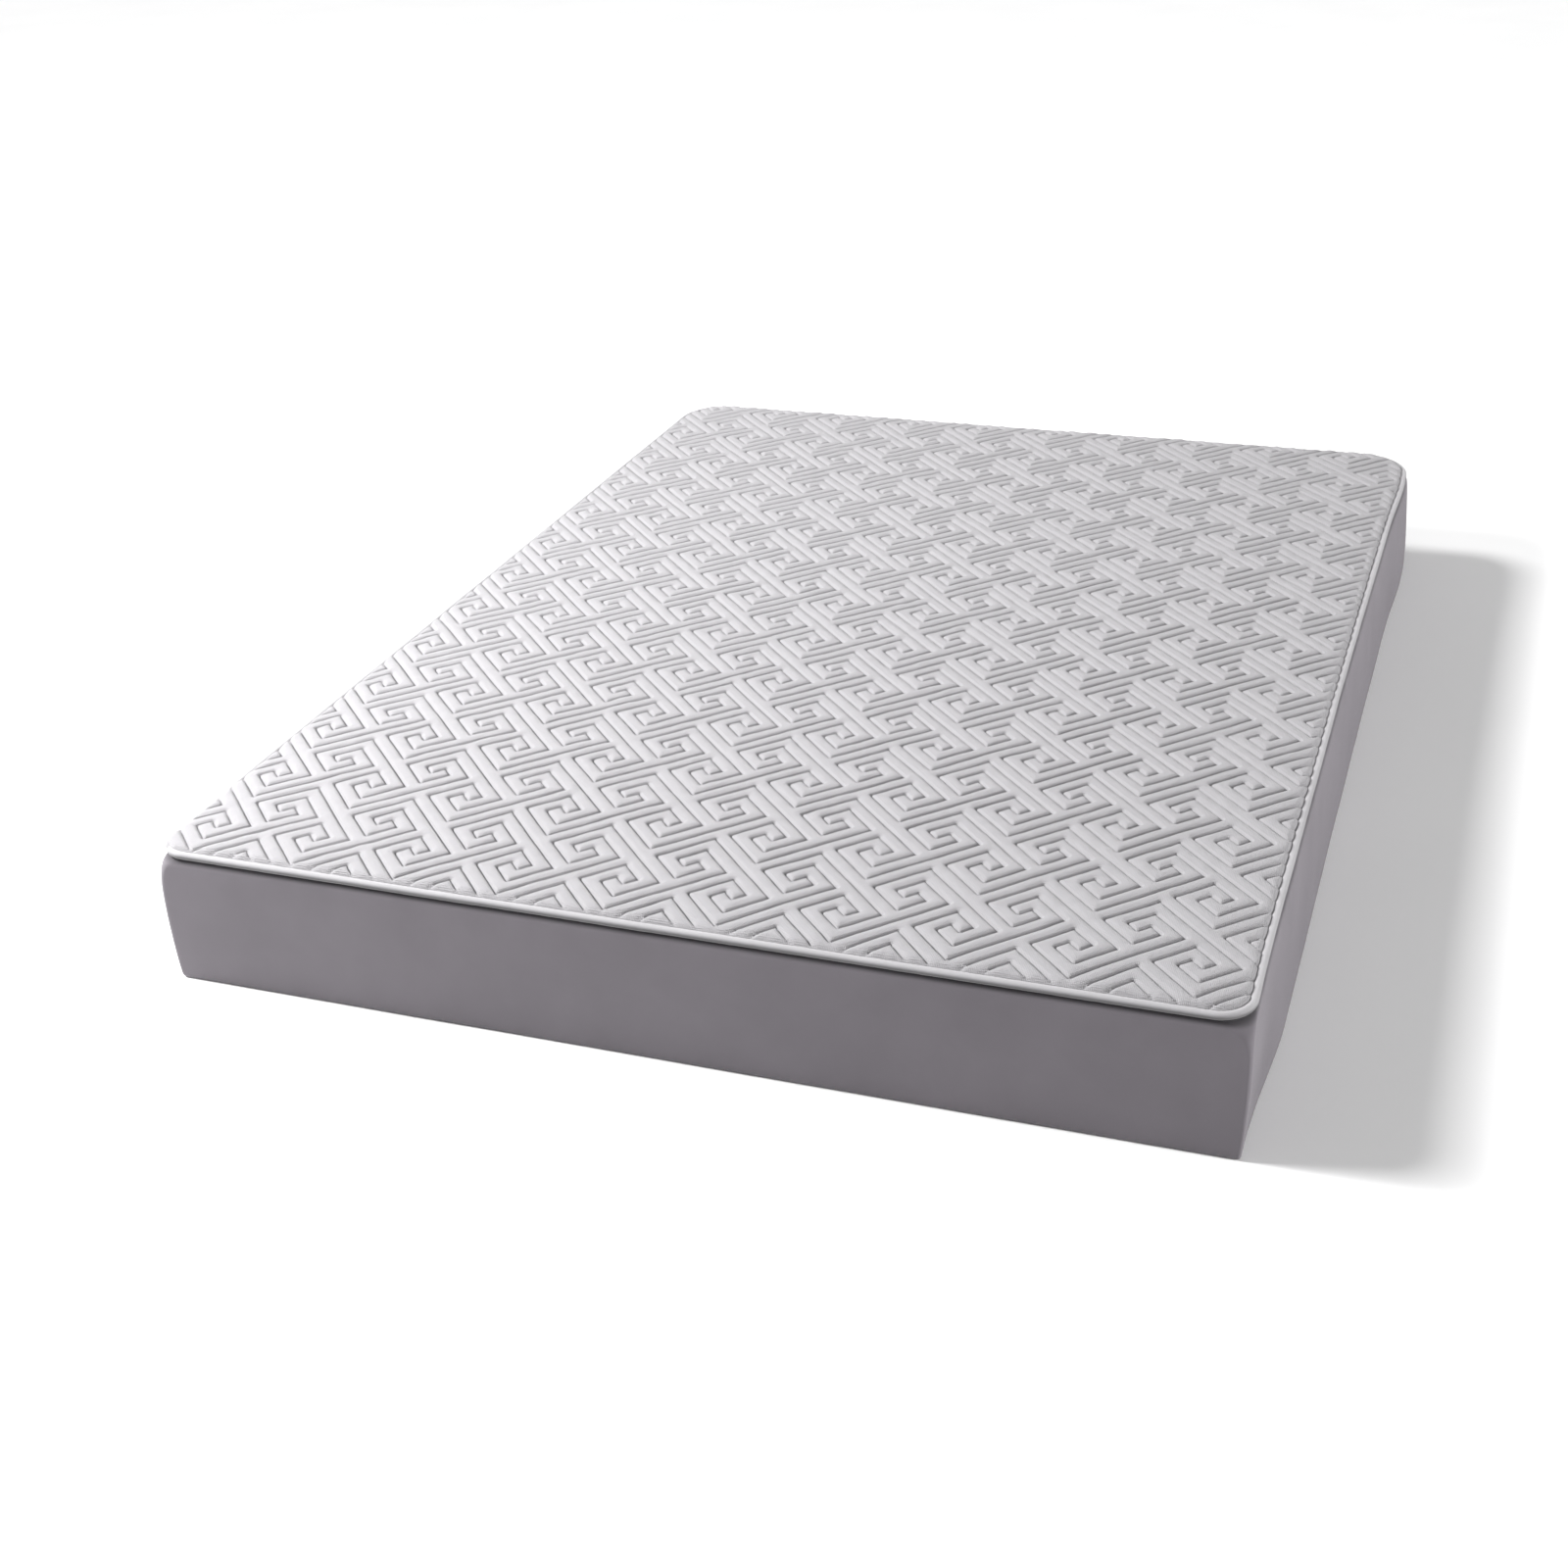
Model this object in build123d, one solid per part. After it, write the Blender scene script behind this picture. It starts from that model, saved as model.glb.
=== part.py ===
from build123d import *
import os

# Memory foam mattress, 1500 x 2000 mm and nominally 200 mm thick, in millimetres.
# Origin: middle of the footprint, on the surface the mattress lies on.
# X runs across the bed, +Y towards the head end, +Z up.
# Three foam layers in a knitted inner sleeve sit inside a sewn cover. The cover is a quilted
# top, a piped top edge, a padded border and a bottom panel, and it opens by a zip low on the
# head end. Every depth below is measured inwards from the cover's outer side.

# ---- Driving dimensions ----
WIDTH = 1500.0
LENGTH = 2000.0
SEAM_Z = 193.0  # height of the seam that joins the border to the piping

# Foam core and the layers round it
BASE_FOAM = 120.0
TRANSITION_FOAM = 30.0
MEMORY_FOAM = 38.0
SLEEVE = 1.0
BOTTOM_PANEL = 1.5
QUILT_BACKING = 0.5
QUILT_WADDING = 11.5
QUILT_FACE = 1.5

# Border layers and the cover's outline
BORDER_FABRIC = 1.2
BORDER_PADDING = 3.0
BORDER_TO_PIPING = 0.1  # gap between the border's top edge and the piping
BOTTOM_TUCK = 7.0  # how far the border draws in at the bottom edge
TUCK_Z = 25.0  # height at which the border has reached its full width
BOTTOM_CORNER_R = 26.0
SIDE_CORNER_R = 16.0
CORNER_RISE_Z = 140.0  # above this the corners open out to the piping's radius
TOP_CORNER_R = 75.0

# Piping round the top edge
PIPING_R = 5.5
PIPING_CORD_R = 4.5
PIPING_FLANGE = 0.8
SEAM_ALLOWANCE = 10.0
QUILT_HEM = 1.5
QUILT_EDGE_DEPTH = 11.5
QUILT_EDGE_R = 8.0

# Zip at the head end
ZIP_Z = 42.0  # height of the line where the two halves meet
ZIP_STRIP_HALF = 660.0  # half the length of the tapes and of the end panels
ZIP_TEETH_HALF = 640.0
ZIP_WINDOW_HALF = 8.0  # half the height of the slot between the end panels
ZIP_GAP_HALF = 0.8  # half the gap between the two tape edges
TAPE_REACH = 14.0
TAPE = 0.8
TEETH_REACH = 3.4
TEETH = 2.4
PADDING_CLEARANCE = 2.0  # room that the padding leaves round the tapes

# Slider and pull
SLIDER_HALF = 7.0
SLIDER_HALF_HEIGHT = 4.8
SLIDER_PLATE = 1.3
SLIDER_WALL = 0.9
SLIDER_CLEARANCE = 0.4
SLIDER_CORNER_R = 2.0
SLIDER_STOP_GAP = 0.5
STOP_LENGTH = 3.0
STOP_WALL = 0.4
POST_HALF = 0.4
POST_LENGTH = 4.0
BRIDGE_HALF = 3.5
BRIDGE_HALF_WIDTH = 1.1
BRIDGE_WALL = 1.2
BRIDGE_GAP = 2.3
BRIDGE_TOP = 1.0
PULL_PIN_R = 0.75
PULL_HALF_WIDTH = 3.0
PULL_ARM = 1.1
PULL_THICKNESS = 1.5
PULL_START = 4.6
PULL_LENGTH = 30.0
PULL_HOLE_R = 1.2

# ---- Heights and depths worked out from them ----
SLEEVE_Z = BOTTOM_PANEL
BASE_Z = SLEEVE_Z + SLEEVE
TRANSITION_Z = BASE_Z + BASE_FOAM
MEMORY_Z = TRANSITION_Z + TRANSITION_FOAM
CORE_TOP_Z = MEMORY_Z + MEMORY_FOAM
BACKING_Z = CORE_TOP_Z + SLEEVE
WADDING_Z = BACKING_Z + QUILT_BACKING
TOP_Z = WADDING_Z + QUILT_WADDING + QUILT_FACE
BORDER_TOP_Z = SEAM_Z - BORDER_TO_PIPING
PADDING_DEPTH = BORDER_FABRIC
FLANGE_DEPTH = PADDING_DEPTH + BORDER_PADDING
HEM_DEPTH = FLANGE_DEPTH + PIPING_FLANGE
SLEEVE_DEPTH = HEM_DEPTH + QUILT_HEM
FOAM_DEPTH = SLEEVE_DEPTH + SLEEVE
WADDING_DEPTH = QUILT_EDGE_DEPTH + QUILT_FACE

TAPE_Y = LENGTH / 2 - BORDER_FABRIC - TAPE
TEETH_Y = TAPE_Y + TAPE
PLATE_Y = TEETH_Y + TEETH + SLIDER_CLEARANCE
BRIDGE_Y = PLATE_Y + SLIDER_PLATE
PIVOT_Y = BRIDGE_Y + BRIDGE_GAP / 2
REAR_PLATE_Y = TAPE_Y - SLIDER_CLEARANCE - SLIDER_PLATE
SLIDER_X = -(ZIP_TEETH_HALF - SLIDER_HALF - SLIDER_STOP_GAP)

# (height, how far the side draws in, corner radius), from the bottom up
COVER_PROFILE = [
    (0.0, BOTTOM_TUCK, BOTTOM_CORNER_R),
    (TUCK_Z, 0.0, SIDE_CORNER_R),
    (CORNER_RISE_Z, 0.0, SIDE_CORNER_R),
    (SEAM_Z, 0.0, TOP_CORNER_R),
    (TOP_Z, 0.0, TOP_CORNER_R),
]


# ---- Shapes that the pieces share ----
def cover_at(z):
    """How far the cover's side draws in at height z, and its corner radius there."""
    for (z0, tuck0, r0), (z1, tuck1, r1) in zip(COVER_PROFILE, COVER_PROFILE[1:]):
        if z <= z1:
            t = (z - z0) / (z1 - z0)
            return tuck0 + t * (tuck1 - tuck0), r0 + t * (r1 - r0)
    return COVER_PROFILE[-1][1:]


def outline(z, depth):
    """The cover's rounded rectangle at height z, drawn in by depth."""
    tuck, radius = cover_at(z)
    inset = tuck + depth
    return Pos(0, 0, z) * RectangleRounded(WIDTH - 2 * inset, LENGTH - 2 * inset, radius - depth)


def block(z0, z1, depth):
    """The solid inside the cover between two heights, drawn in by depth."""
    between = [z for z, _, _ in COVER_PROFILE if z0 < z < z1]
    sections = [outline(z, depth).face() for z in [z0, *between, z1]]
    return loft(sections, ruled=True)


def band(z0, z1, depth, thickness):
    """A layer of the cover's side: a closed band between two heights."""
    return block(z0, z1, depth) - block(z0, z1, depth + thickness)


def pillow(z0, z1, depth, edge_r):
    """A flat slab with the piping's corners and a rounded top edge."""
    slab = extrude(outline(SEAM_Z, depth).face(), z1 - z0)
    slab = Pos(0, 0, z0 - SEAM_Z) * slab
    return fillet(slab.faces().sort_by(Axis.Z)[-1].edges(), edge_r)


def span_box(x, y, z):
    """A box given by its low and high ends along each axis."""
    size = [high - low for low, high in (x, y, z)]
    middle = [(high + low) / 2 for low, high in (x, y, z)]
    return Pos(*middle) * Box(*size)


def head_end_zone(z0, z1, half=ZIP_STRIP_HALF):
    """The space at the head end between the two side seams, from z0 to z1."""
    return span_box((-half, half), (0.9 * LENGTH / 2, 1.1 * LENGTH / 2), (z0, z1))


def half_strip(half, reach, y, thickness, side):
    """A strip along one half of the zip: side is 1 above the meeting line and -1 below it."""
    z = sorted((ZIP_Z + side * ZIP_GAP_HALF, ZIP_Z + side * reach))
    return span_box((-half, half), (y, y + thickness), z)


def rail(radius):
    """A round bar that follows the top edge where the piping runs."""
    path = (Pos(0, 0, PIPING_R) * outline(SEAM_Z, PIPING_R)).face().outer_wire()
    section = Plane(origin=path @ 0, z_dir=path % 0) * Circle(radius)
    return sweep(section, path=path)


# ---- Core ----
def base_foam():
    return block(BASE_Z, TRANSITION_Z, FOAM_DEPTH)


def transition_foam():
    return block(TRANSITION_Z, MEMORY_Z, FOAM_DEPTH)


def memory_foam():
    return block(MEMORY_Z, CORE_TOP_Z, FOAM_DEPTH)


def inner_sleeve():
    """Knitted sleeve, closed all round the three foam layers."""
    return block(SLEEVE_Z, BACKING_Z, SLEEVE_DEPTH) - block(BASE_Z, CORE_TOP_Z, FOAM_DEPTH)


# ---- Quilted top ----
def quilt_backing():
    return Pos(0, 0, BACKING_Z - SEAM_Z) * extrude(
        outline(SEAM_Z, QUILT_EDGE_DEPTH).face(), QUILT_BACKING
    )


def quilt_wadding():
    top = TOP_Z - QUILT_FACE
    return pillow(WADDING_Z, top, WADDING_DEPTH, QUILT_EDGE_R - QUILT_FACE)


def quilt_face():
    """Face fabric over the wadding, with the hem that is sewn down beside the piping."""
    shell = pillow(WADDING_Z, TOP_Z, QUILT_EDGE_DEPTH, QUILT_EDGE_R) - quilt_wadding()
    ledge = band(WADDING_Z, SEAM_Z, HEM_DEPTH, QUILT_EDGE_DEPTH - HEM_DEPTH + QUILT_FACE / 2)
    hem = band(SEAM_Z - SEAM_ALLOWANCE, WADDING_Z, HEM_DEPTH, QUILT_HEM)
    return shell + ledge + hem


# ---- Piping ----
def piping_cord():
    return rail(PIPING_CORD_R)


def piping_tape():
    """Fabric tube round the cord, with the flange that is sewn into the top seam."""
    flange_top = SEAM_Z + (PIPING_R - PIPING_CORD_R) / 2
    flange = band(SEAM_Z - SEAM_ALLOWANCE, flange_top, FLANGE_DEPTH, PIPING_FLANGE)
    return rail(PIPING_R) + flange - piping_cord()


# ---- Border and bottom ----
def border_skin():
    return band(BOTTOM_PANEL, BORDER_TOP_Z, 0, BORDER_FABRIC)


def border_strip():
    """One strip round the foot end and both sides, ending at two seams on the head end."""
    return border_skin() - head_end_zone(0, TOP_Z)


def end_panel_upper():
    return border_skin() & head_end_zone(ZIP_Z + ZIP_WINDOW_HALF, TOP_Z)


def end_panel_lower():
    return border_skin() & head_end_zone(0, ZIP_Z - ZIP_WINDOW_HALF)


def border_padding():
    """Thin foam laminated behind the border fabric, cut away round the zip."""
    room = TAPE_REACH + PADDING_CLEARANCE
    window = head_end_zone(ZIP_Z - room, ZIP_Z + room, ZIP_STRIP_HALF + PADDING_CLEARANCE)
    return band(BOTTOM_PANEL, BORDER_TOP_Z, PADDING_DEPTH, BORDER_PADDING) - window


def bottom_panel():
    return block(0, BOTTOM_PANEL, 0)


# ---- Zip ----
def zip_tape(side):
    return half_strip(ZIP_STRIP_HALF, TAPE_REACH, TAPE_Y, TAPE, side)


def zip_teeth(side):
    return half_strip(ZIP_TEETH_HALF, TEETH_REACH, TEETH_Y, TEETH, side)


def stop_block(x, z):
    """A crimped stop that grips the tapes: a block with the tapes' thickness cut out."""
    block_y = (TAPE_Y - STOP_WALL, TEETH_Y + TEETH)
    return span_box(x, block_y, z) - zip_tape(1) - zip_tape(-1)


def zip_top_stops():
    """Two stops, one on each tape, where the slider rests when the cover is closed."""
    x = (-ZIP_TEETH_HALF - STOP_LENGTH, -ZIP_TEETH_HALF)
    upper = stop_block(x, (ZIP_Z + POST_HALF, ZIP_Z + TEETH_REACH))
    lower = stop_block(x, (ZIP_Z - TEETH_REACH, ZIP_Z - POST_HALF))
    return Compound(children=[*upper.solids(), *lower.solids()])


def zip_bottom_stop():
    """One stop across both tapes at the far end."""
    x = (ZIP_TEETH_HALF, ZIP_TEETH_HALF + STOP_LENGTH)
    return stop_block(x, (ZIP_Z - TEETH_REACH, ZIP_Z + TEETH_REACH))


def slider_plate(y, half_height):
    """One of the slider's two plates, facing along Y, with rounded corners."""
    face = RectangleRounded(2 * SLIDER_HALF, 2 * half_height, SLIDER_CORNER_R)
    standing = Plane(origin=(SLIDER_X, y, ZIP_Z), x_dir=(1, 0, 0), z_dir=(0, 1, 0))
    return extrude(standing * face, SLIDER_PLATE)


def slider_body():
    """Front and rear plates joined by a post, side walls round the teeth, and the bridge."""
    front = slider_plate(PLATE_Y, SLIDER_HALF_HEIGHT)
    rear = slider_plate(REAR_PLATE_Y, SLIDER_HALF_HEIGHT - SLIDER_WALL)
    post_x = (SLIDER_X - SLIDER_HALF + 1, SLIDER_X - SLIDER_HALF + 1 + POST_LENGTH)
    post = span_box(post_x, (REAR_PLATE_Y, BRIDGE_Y), (ZIP_Z - POST_HALF, ZIP_Z + POST_HALF))
    body = front + rear + post
    wall_x = (SLIDER_X - SLIDER_HALF + SLIDER_CORNER_R, SLIDER_X + SLIDER_HALF - SLIDER_CORNER_R)
    wall_y = (TEETH_Y + SLIDER_CLEARANCE, PLATE_Y + SLIDER_PLATE / 2)
    for side in (1, -1):
        inner = SLIDER_HALF_HEIGHT - SLIDER_WALL
        wall_z = sorted((ZIP_Z + side * inner, ZIP_Z + side * SLIDER_HALF_HEIGHT))
        body += span_box(wall_x, wall_y, wall_z)
    width = (ZIP_Z - BRIDGE_HALF_WIDTH, ZIP_Z + BRIDGE_HALF_WIDTH)
    arch_x = (SLIDER_X - BRIDGE_HALF, SLIDER_X + BRIDGE_HALF)
    slot_x = (arch_x[0] + BRIDGE_WALL, arch_x[1] - BRIDGE_WALL)
    arch = span_box(arch_x, (BRIDGE_Y, BRIDGE_Y + BRIDGE_GAP + BRIDGE_TOP), width)
    return body + (arch - span_box(slot_x, (BRIDGE_Y, BRIDGE_Y + BRIDGE_GAP), width))


def pull_tab():
    """Flat tab with two arms and a cross pin that turns inside the slider's bridge."""
    pin = Pos(SLIDER_X, PIVOT_Y, ZIP_Z) * Cylinder(PULL_PIN_R, 2 * PULL_HALF_WIDTH)
    y = (PIVOT_Y - PULL_THICKNESS / 2, PIVOT_Y + PULL_THICKNESS / 2)
    tab = pin
    for side in (1, -1):
        inner = PULL_HALF_WIDTH - PULL_ARM
        z = sorted((ZIP_Z + side * inner, ZIP_Z + side * PULL_HALF_WIDTH))
        tab += span_box((SLIDER_X, SLIDER_X + PULL_START + PULL_ARM), y, z)
    middle = (PULL_START + PULL_LENGTH) / 2
    standing = Plane(
        origin=(SLIDER_X + middle, y[0], ZIP_Z), x_dir=(1, 0, 0), z_dir=(0, 1, 0)
    )
    plate = RectangleRounded(
        PULL_LENGTH - PULL_START, 2 * PULL_HALF_WIDTH, PULL_HALF_WIDTH / 2
    )
    hole = Pos(PULL_LENGTH - middle - PULL_HALF_WIDTH, 0) * Circle(PULL_HOLE_R)
    return tab + extrude(standing * (plate - hole), PULL_THICKNESS)


PIECES = {
    "base_foam": base_foam,
    "transition_foam": transition_foam,
    "memory_foam": memory_foam,
    "inner_sleeve": inner_sleeve,
    "quilt_backing": quilt_backing,
    "quilt_wadding": quilt_wadding,
    "quilt_face": quilt_face,
    "piping_cord": piping_cord,
    "piping_tape": piping_tape,
    "border_strip": border_strip,
    "end_panel_upper": end_panel_upper,
    "end_panel_lower": end_panel_lower,
    "border_padding": border_padding,
    "bottom_panel": bottom_panel,
    "zip_tape_upper": lambda: zip_tape(1),
    "zip_tape_lower": lambda: zip_tape(-1),
    "zip_teeth_upper": lambda: zip_teeth(1),
    "zip_teeth_lower": lambda: zip_teeth(-1),
    "zip_top_stops": zip_top_stops,
    "zip_bottom_stop": zip_bottom_stop,
    "slider_body": slider_body,
    "pull_tab": pull_tab,
}

os.makedirs("parts", exist_ok=True)
for name, make in PIECES.items():
    export_step(make(), f"parts/{name}.step")

travel = -2 * SLIDER_X
print(f"zip: slider at x {SLIDER_X:g}, pivot y {PIVOT_Y:g}, z {ZIP_Z:g}, travel {travel:g} mm")
print(f"height over all {TOP_Z:g} mm")
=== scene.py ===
import math

import bpy
import numpy as np
from mathutils import Matrix, Vector, geometry


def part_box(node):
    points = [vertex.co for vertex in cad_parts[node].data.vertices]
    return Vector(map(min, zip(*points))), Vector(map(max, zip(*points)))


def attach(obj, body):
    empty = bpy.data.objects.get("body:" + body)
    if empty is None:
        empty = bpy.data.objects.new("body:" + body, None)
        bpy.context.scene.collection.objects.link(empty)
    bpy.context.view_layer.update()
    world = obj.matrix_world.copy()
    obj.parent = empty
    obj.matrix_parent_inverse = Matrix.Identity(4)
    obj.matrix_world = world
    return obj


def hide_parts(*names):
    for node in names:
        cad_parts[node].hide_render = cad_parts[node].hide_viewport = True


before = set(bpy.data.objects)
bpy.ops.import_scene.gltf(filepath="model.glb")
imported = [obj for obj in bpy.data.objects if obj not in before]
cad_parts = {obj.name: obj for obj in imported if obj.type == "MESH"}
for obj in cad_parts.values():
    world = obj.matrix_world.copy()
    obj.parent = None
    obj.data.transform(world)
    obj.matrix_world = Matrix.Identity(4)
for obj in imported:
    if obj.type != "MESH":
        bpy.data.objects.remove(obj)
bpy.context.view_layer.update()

# Memory foam mattress: a quilted top sewn in a meander pattern, a piped top edge, a smooth
# padded border, a dotted anti-slip underside and a zip at the head end, round a foam core in
# a knitted sleeve. Metres, in the CAD frame: X across, +Y towards the head end, +Z up.

MM = 0.001
BODY = "mattress"

# ---- Sizes read from the frame ----
PIPING_LOW, PIPING_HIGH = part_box("piping_tape")
CORD_LOW, CORD_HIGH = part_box("piping_cord")
HALF_X = PIPING_HIGH.x
HALF_Y = PIPING_HIGH.y
CORD_R = (CORD_HIGH.z - CORD_LOW.z) / 2
PIPING_R = CORD_R + PIPING_HIGH.x - CORD_HIGH.x
PIPING_Z = (CORD_HIGH.z + CORD_LOW.z) / 2
SEAM_Z = PIPING_Z - PIPING_R
FLANGE_Z = PIPING_LOW.z
CORE_LOW_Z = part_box("base_foam")[0].z
CORE_TOP_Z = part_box("memory_foam")[1].z
WADDING_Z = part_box("quilt_wadding")[0].z
FOAM_DEPTH = HALF_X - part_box("base_foam")[1].x
SLEEVE_DEPTH = HALF_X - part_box("inner_sleeve")[1].x
BACKING_DEPTH = HALF_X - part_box("quilt_backing")[1].x
WADDING_DEPTH = HALF_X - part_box("quilt_wadding")[1].x
PANEL_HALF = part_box("zip_tape_upper")[1].x
ZIP_Z = (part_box("zip_teeth_upper")[0].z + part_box("zip_teeth_lower")[1].z) / 2
WINDOW_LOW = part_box("end_panel_lower")[1].z
WINDOW_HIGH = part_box("end_panel_upper")[0].z
TAPE_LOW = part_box("zip_tape_lower")[0].z
TAPE_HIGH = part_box("zip_tape_upper")[1].z
TEETH_LOW, TEETH_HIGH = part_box("zip_teeth_upper")

# ---- The cover's shape ----
# Each table holds the left then the right side, and for each the foot then the head end:
# the corners' radii at the piping and at the floor, and the power of the height by which
# the one turns into the other
SEAM_CORNER_R = np.array([[0.036, 0.088], [0.048, 0.088]])
SIDE_CORNER_R = np.array([[0.008, 0.030], [0.005, 0.012]])
CORNER_FALL = np.array([[16.0, 2.0], [16.0, 2.0]])
# places where the soft cover is out of square: x, y, reach, and how far it moves towards +X
# at the floor, at the seam and on the quilt
PULLS = (
    (-0.75, -1.0, 0.15, 0.013, 0.011, -0.003),
    (0.75, -0.97, 0.09, -0.004, 0.002, 0.002),
    (0.75, 0.65, 0.45, 0.003, 0.006, 0.006),
    (0.75, 0.86, 0.16, 0.008, 0.008, 0.008),
    (0.75, 1.02, 0.09, 0.000, -0.004, -0.004),
)
# half the straight part of the ends and of the long sides that every height shares
CORE_X = PANEL_HALF
CORE_Y = HALF_Y - 90 * MM
SEAM_STEPS = (1.5 * MM, 4.0 * MM)  # extra columns beside the head end's two seams

# ---- Quilting: a square grid turned 45 degrees, of which a meander is sewn ----
PERIOD_X = 0.1499
PERIOD_Y = 0.1556
STEPS_PER_PERIOD = 10  # grid squares across one repeat
PITCH_X = PERIOD_X / STEPS_PER_PERIOD
PITCH_Y = PERIOD_Y / STEPS_PER_PERIOD
PATTERN_X = 0.3197  # where the grid's own origin lies
PATTERN_Y = -0.6587
CHANNEL_HALF = math.hypot(PITCH_X, PITCH_Y) / 2  # half the width of a puffed channel
# one repeat of a sewn line: steps along the grid's two directions, taken in turn
MEANDER = (8, 3, -2, -1, 1, -1, -2, 3, 4, -8, -3, 2, 1, -1, 1, 2, -3, -4)
MEANDER_START = -2
CELL_CUTS = np.array([0.0, 0.09, 0.25, 0.5, 0.75, 0.91])  # mesh lines in a grid square
STITCHES_PER_STEP = 6
PUFF = 7.8 * MM  # how far the channels stand above the sewn lines
CROWN = 3.0 * MM  # how far the middle of the top stands above its edge


# ---- Numbers ----
NOISE_SIZE = 256


def smooth(t):
    """Smooth step from 0 to 1 as t goes from 0 to 1."""
    t = np.clip(t, 0, 1)
    return t * t * (3 - 2 * t)


def noise(u, v, cell, seed):
    """Smooth values from -1 to 1 over a plane, with features about one cell wide."""
    table = np.random.default_rng(seed).uniform(-1, 1, (NOISE_SIZE, NOISE_SIZE))
    gu, gv = np.broadcast_arrays(np.asarray(u) / cell, np.asarray(v) / cell)
    iu, iv = np.floor(gu).astype(int), np.floor(gv).astype(int)
    fu, fv = smooth(gu - iu), smooth(gv - iv)

    def corner(a, b):
        return table[(iu + a) % NOISE_SIZE, (iv + b) % NOISE_SIZE]

    low = corner(0, 0) * (1 - fu) + corner(1, 0) * fu
    high = corner(0, 1) * (1 - fu) + corner(1, 1) * fu
    return low * (1 - fv) + high * fv


def quarter_round(t):
    """1 at t = 0, falling to 0 at t = 1 along a quarter circle, and 0 beyond."""
    t = np.clip(t, 0, 1)
    return 1 - np.sqrt(1 - (1 - t) ** 2)


def crowded(low, high, count):
    """Values from low to high that lie closer together at both ends."""
    return low + (high - low) * (1 - np.cos(np.pi * np.linspace(0, 1, count))) / 2


# ---- Pieces ----
def new_object(name, data):
    made = bpy.data.objects.new(name, data)
    bpy.context.scene.collection.objects.link(made)
    return made


def settle(points, on_quilt):
    """The points of a soft piece, moved with the cover where it is pulled out of square. The
    zip and the cloth beside it stay where they are."""
    points = np.array(points, float)
    x, y, z = points.T.copy()
    crest = smooth((z - PIPING_Z + 1 * MM) / (4 * MM)) * on_quilt
    below = np.clip(1 - z / SEAM_Z, 0, 1) ** 2
    at_head = smooth((y - HALF_Y + 20 * MM) / (10 * MM)) * smooth((SEAM_Z - z) / (30 * MM))
    by_zip = at_head * smooth((PANEL_HALF + 10 * MM - np.abs(x)) / (10 * MM))
    for pull_x, pull_y, reach, at_floor, at_seam, at_quilt in PULLS:
        away = np.hypot(x - pull_x, y - pull_y) / reach
        amount = at_seam + (at_floor - at_seam) * below + (at_quilt - at_seam) * crest
        points[:, 0] += amount * np.exp(-away ** 2) * (1 - by_zip)
    return points


def add_piece(name, points, faces, material, replaces=(), on_quilt=False):
    """A mesh piece in the CAD frame that rides on the mattress, smooth but for its caps."""
    mesh = bpy.data.meshes.new(name)
    mesh.from_pydata(settle(points, on_quilt).tolist(), [], faces)
    mesh.validate()
    mesh.polygons.foreach_set("use_smooth", [p.loop_total <= 4 for p in mesh.polygons])
    mesh.materials.append(LOOKS[material].material)
    piece = new_object(name, mesh)
    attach(piece, BODY)
    if replaces:
        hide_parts(*replaces)
    return piece


def grid_faces(rows, columns, closed=False, first=0):
    """Quads over points held row by row; closed joins the last column to the first."""
    row = np.arange(rows - 1)[:, None] * columns
    column = np.arange(columns if closed else columns - 1)[None, :]
    right = (column + 1) % columns
    quads = np.stack([
        row + column,
        row + right,
        row + columns + right,
        row + columns + column,
    ], -1)
    return (quads.reshape(-1, 4) + first).tolist()


def end_caps(rows, columns):
    """The two flat faces that close a stack of closed rows."""
    last = (rows - 1) * columns
    return [list(range(columns))[::-1], list(range(last, last + columns))]


def repeat_faces(faces, copies, points_each):
    """The faces of one small shape, for every copy of it."""
    every = []
    for face in faces:
        block = np.arange(copies)[:, None] * points_each + np.array(face)[None, :]
        every += block.tolist()
    return every


def level(x, y, z):
    """Points that all lie at height z."""
    return np.stack([x, y, np.full(len(x), z)], -1)


def thicken(piece, thickness):
    """Gives a sheet its thickness, inwards from its outer face."""
    solid = piece.modifiers.new("thickness", "SOLIDIFY")
    solid.thickness = thickness
    solid.offset = -1
    return piece


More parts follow.
